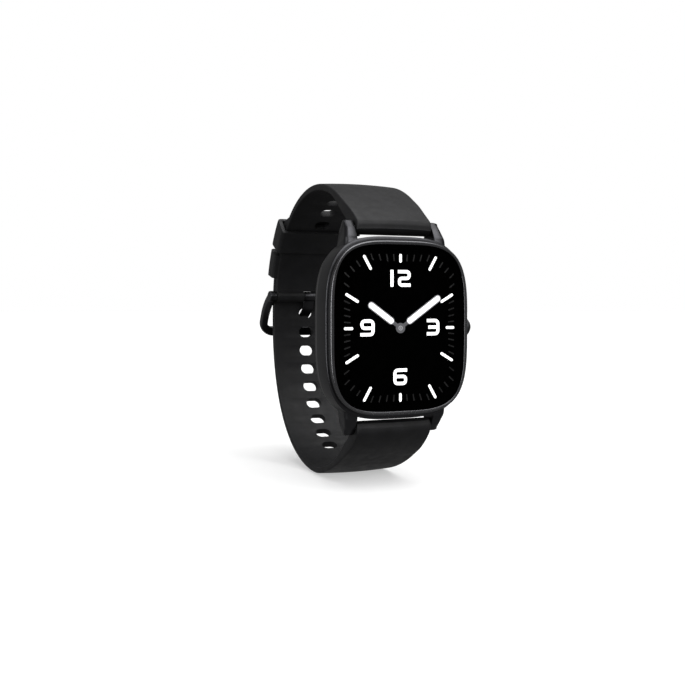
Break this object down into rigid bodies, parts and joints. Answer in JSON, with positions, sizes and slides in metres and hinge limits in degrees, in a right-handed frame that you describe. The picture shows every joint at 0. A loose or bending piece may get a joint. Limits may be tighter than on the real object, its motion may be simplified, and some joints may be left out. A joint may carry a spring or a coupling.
{
  "type": "smartwatch",
  "caption": "Smartwatch: rounded rectangular case with an always-on analogue dial, a rotating push crown and a buckled silicone strap on quick-release spring bars.",
  "frame": {"origin": "centre of the flat sensor face on the watch's back", "axes": "+X towards the crown (3 o'clock), +Z towards 12 o'clock, +Y out of the back towards the wrist; the dial faces -Y"},
  "size_m": [0.0441, 0.079, 0.0845],
  "materials": {
    "case_metal": "satin dark gunmetal coating",
    "bezel_metal": "polished dark coating",
    "cover_glass": "gloss cover glass",
    "display": "black display panel with a printed-looking analogue face",
    "silicone": "matt black silicone",
    "steel": "bright spring-bar steel",
    "dark_plastic": "black moulded plastic",
    "sensor_window": "gloss black lens",
    "foil": "dull metal foil and cans",
    "board": "green solder mask",
    "gold": "gold plating",
    "led": "clear green light-emitting package",
    "seal": "black sealing rubber and adhesive"
  },
  "bodies": {
    "watch": {"back_cover": "dark_plastic", "back_gasket": "seal", "back_screw_1": "steel", "back_screw_2": "steel", "back_screw_3": "steel", "back_screw_4": "steel", "battery": "foil", "bezel_ring": "bezel_metal", "buckle_spring_bar": "steel", "case_frame": "case_metal", "charge_contact_left": "gold", "charge_contact_right": "gold", "cover_glass": "cover_glass", "crown_seal": "seal", "crown_switch": "foil", "crown_tube": "steel", "display_flex": "gold", "display_panel": "display", "glass_gasket": "seal", "inner_frame": "dark_plastic", "long_strap": "silicone", "lower_spring_bar": "steel", "main_board": "board", "microphone": "foil", "photodiode_left": "dark_plastic", "photodiode_right": "dark_plastic", "processor_shield": "foil", "sensor_board": "board", "sensor_led_lower": "led", "sensor_led_upper": "led", "sensor_window": "sensor_window", "short_strap": "silicone", "speaker": "dark_plastic", "upper_spring_bar": "steel", "vibration_motor": "steel"},
    "plunger": {"crown_plunger": "dark_plastic"},
    "crown": {"crown_knob": "case_metal", "crown_stem": "steel"},
    "buckle": {"buckle_frame": "case_metal"},
    "tongue": {"buckle_tongue": "case_metal"},
    "keeper": {"free_keeper": "silicone"},
    "upper_left_tip": {"upper_tip_left": "steel", "upper_release_lever": "steel"},
    "upper_right_tip": {"upper_tip_right": "steel"},
    "lower_left_tip": {"lower_tip_left": "steel", "lower_release_lever": "steel"},
    "lower_right_tip": {"lower_tip_right": "steel"},
    "buckle_left_tip": {"buckle_tip_left": "steel"},
    "buckle_right_tip": {"buckle_tip_right": "steel"}
  },
  "joints": [
    {"name": "crown_press", "type": "slide", "parent": "watch", "child": "plunger", "axis": [-1, 0, 0], "range_m": [0, 0.0004], "stiffness_N_per_m": 3000, "springref_m": -0.0003},
    {"name": "crown_turn", "type": "hinge", "parent": "plunger", "child": "crown", "pos_m": [0.0212, -0.0064, 0], "axis": [1, 0, 0], "continuous": true},
    {"name": "buckle_swing", "type": "hinge", "parent": "watch", "child": "buckle", "pos_m": [0, 0.05576, 0.00884], "axis": [1, 0, 0], "range_deg": [-8, 75]},
    {"name": "tongue_swing", "type": "hinge", "parent": "watch", "child": "tongue", "pos_m": [0, 0.05576, 0.00884], "axis": [1, 0, 0], "range_deg": [-1, 1]},
    {"name": "keeper_slide", "type": "hinge", "parent": "watch", "child": "keeper", "pos_m": [0, 0.02197, 0.00567], "axis": [1, 0, 0], "range_deg": [-1.6, 50]},
    {"name": "upper_left_tip_push", "type": "slide", "parent": "watch", "child": "upper_left_tip", "axis": [1, 0, 0], "range_m": [0, 0.00115], "stiffness_N_per_m": 800, "springref_m": -0.0006},
    {"name": "upper_right_tip_push", "type": "slide", "parent": "watch", "child": "upper_right_tip", "axis": [-1, 0, 0], "range_m": [0, 0.00115], "stiffness_N_per_m": 800, "springref_m": -0.0006},
    {"name": "lower_left_tip_push", "type": "slide", "parent": "watch", "child": "lower_left_tip", "axis": [1, 0, 0], "range_m": [0, 0.00115], "stiffness_N_per_m": 800, "springref_m": -0.0006},
    {"name": "lower_right_tip_push", "type": "slide", "parent": "watch", "child": "lower_right_tip", "axis": [-1, 0, 0], "range_m": [0, 0.00115], "stiffness_N_per_m": 800, "springref_m": -0.0006},
    {"name": "buckle_left_tip_push", "type": "slide", "parent": "watch", "child": "buckle_left_tip", "axis": [1, 0, 0], "range_m": [0, 0.00115], "stiffness_N_per_m": 800, "springref_m": -0.0006},
    {"name": "buckle_right_tip_push", "type": "slide", "parent": "watch", "child": "buckle_right_tip", "axis": [-1, 0, 0], "range_m": [0, 0.00115], "stiffness_N_per_m": 800, "springref_m": -0.0006}
  ]
}
